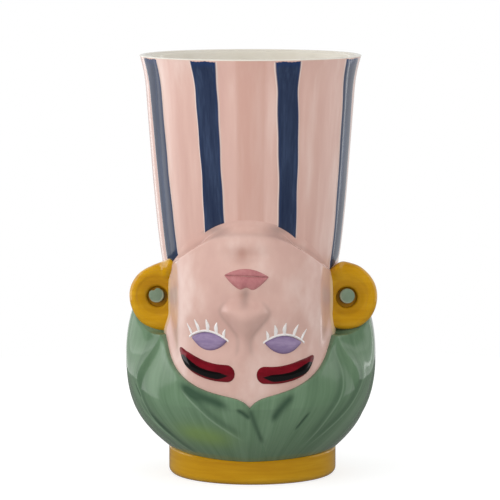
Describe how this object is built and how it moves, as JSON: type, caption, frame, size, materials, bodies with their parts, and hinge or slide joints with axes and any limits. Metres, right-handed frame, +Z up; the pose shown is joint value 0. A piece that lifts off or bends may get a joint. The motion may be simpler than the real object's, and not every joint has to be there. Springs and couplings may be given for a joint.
{
  "type": "stoneware vase",
  "caption": "Tall stoneware vase shaped as an upturned head: flared striped neck, face with closed eyes, green hair as the bowl, round earrings and a mustard foot band.",
  "frame": {"origin": "centre of the foot's flat underside", "axes": "+Z up along the neck, the face looks along -Y, +X to the viewer's right"},
  "size_m": [0.1564, 0.1558, 0.26],
  "materials": {
    "skin_glaze": "glossy clear glaze over brushed pink",
    "hair_glaze": "glossy sage green glaze, brushed",
    "mustard_glaze": "glossy mustard glaze, brushed",
    "bare_stoneware": "bare fired stoneware",
    "cream_glaze": "glossy cream glaze",
    "stud_glaze": "glossy blue-green glaze",
    "lip_glaze": "glossy rose glaze",
    "lid_glaze": "glossy lavender glaze",
    "lash_slip": "glossy white slip",
    "brow_glaze": "very glossy maroon glaze",
    "navy_glaze": "glossy navy glaze, brushed"
  },
  "bodies": {
    "root": {"neck_wall": "skin_glaze", "face": "skin_glaze", "hair_left": "hair_glaze", "hair_right": "hair_glaze", "foot_band": "mustard_glaze", "vase_floor": "bare_stoneware", "neck_lining": "cream_glaze", "bowl_lining": "cream_glaze", "earring_left": "mustard_glaze", "earring_right": "mustard_glaze", "earring_stud_left": "stud_glaze", "earring_stud_right": "stud_glaze", "upper_lip": "lip_glaze", "lower_lip": "lip_glaze", "eyelid_left": "lid_glaze", "eyelid_right": "lid_glaze", "lashes_left": "lash_slip", "lashes_right": "lash_slip", "eyebrow_left": "brow_glaze", "eyebrow_right": "brow_glaze", "stripe_1": "navy_glaze", "stripe_2": "navy_glaze", "stripe_3": "navy_glaze", "stripe_4": "navy_glaze", "stripe_5": "navy_glaze", "stripe_6": "navy_glaze", "stripe_7": "navy_glaze", "stripe_8": "navy_glaze"}
  },
  "joints": []
}
